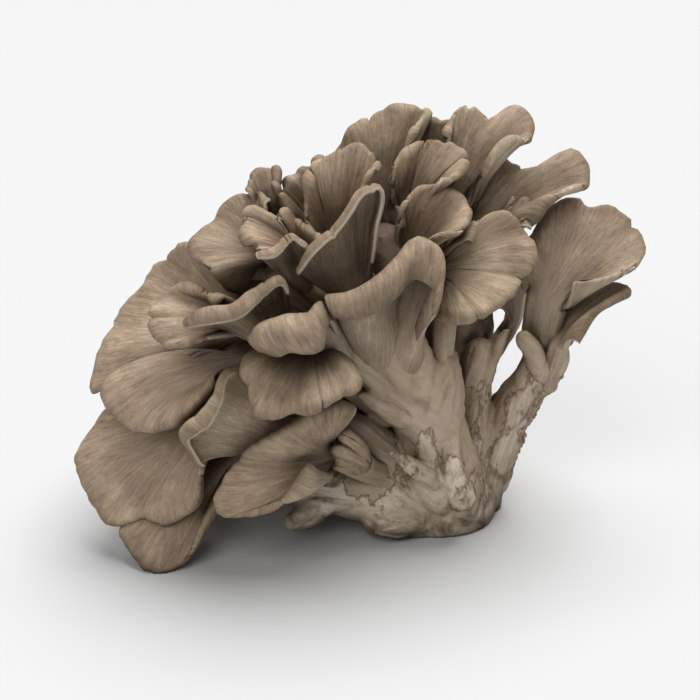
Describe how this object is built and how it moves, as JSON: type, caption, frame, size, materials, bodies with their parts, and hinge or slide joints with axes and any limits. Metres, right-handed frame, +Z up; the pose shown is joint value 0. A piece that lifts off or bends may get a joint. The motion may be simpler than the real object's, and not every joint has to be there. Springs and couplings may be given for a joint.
{
  "type": "maitake mushroom cluster",
  "caption": "Cluster of fan shaped fronds with rolled rims growing from one branched, cut stem base, lying with its lowest fronds on the table.",
  "frame": {"origin": "middle of the flat cut face of the stem base, on the table", "axes": "+Z up; +X towards the upright right hand branch, so the cluster spreads towards -X; +Y away from the side with the bare stem"},
  "size_m": [0.1775, 0.1181, 0.1333],
  "materials": {
    "stem_flesh": null,
    "cap_flesh": null
  },
  "bodies": {
    "root": {"stem_base": "stem_flesh", "front_main": "cap_flesh", "front_left_lip": "cap_flesh", "front_right_lobe": "cap_flesh", "mid_upper": "cap_flesh", "upper_mid": "cap_flesh", "top_left_tall": "cap_flesh", "top_small": "cap_flesh", "top_cap": "cap_flesh", "right_upper": "cap_flesh", "right_inner_curl": "cap_flesh", "right_big": "cap_flesh", "right_lower": "cap_flesh", "tall_leaf": "cap_flesh", "behind_leaf": "cap_flesh", "inner_pointed": "cap_flesh", "small_top_left": "cap_flesh", "upper_left_dome": "cap_flesh", "curl_one": "cap_flesh", "curl_two": "cap_flesh", "curl_three": "cap_flesh", "far_left_big": "cap_flesh", "left_mid": "cap_flesh", "left_mid_inner": "cap_flesh", "left_lower": "cap_flesh", "centre_low": "cap_flesh", "big_bottom_left": "cap_flesh", "outward_fold": "cap_flesh", "bottom_front": "cap_flesh", "lowest_left": "cap_flesh", "young_lobe": "cap_flesh", "inner_left": "cap_flesh", "back_low_left": "cap_flesh", "back_left_lower": "cap_flesh", "back_left": "cap_flesh", "back_left_upper": "cap_flesh", "back_mid_low": "cap_flesh", "back_mid_left": "cap_flesh", "back_mid_upper": "cap_flesh", "back_centre": "cap_flesh", "back_centre_upper": "cap_flesh", "back_top_left": "cap_flesh", "back_top": "cap_flesh", "back_right_top": "cap_flesh", "back_right_mid": "cap_flesh", "back_right": "cap_flesh", "back_right_low": "cap_flesh", "back_low": "cap_flesh", "inner_low": "cap_flesh"}
  },
  "joints": []
}
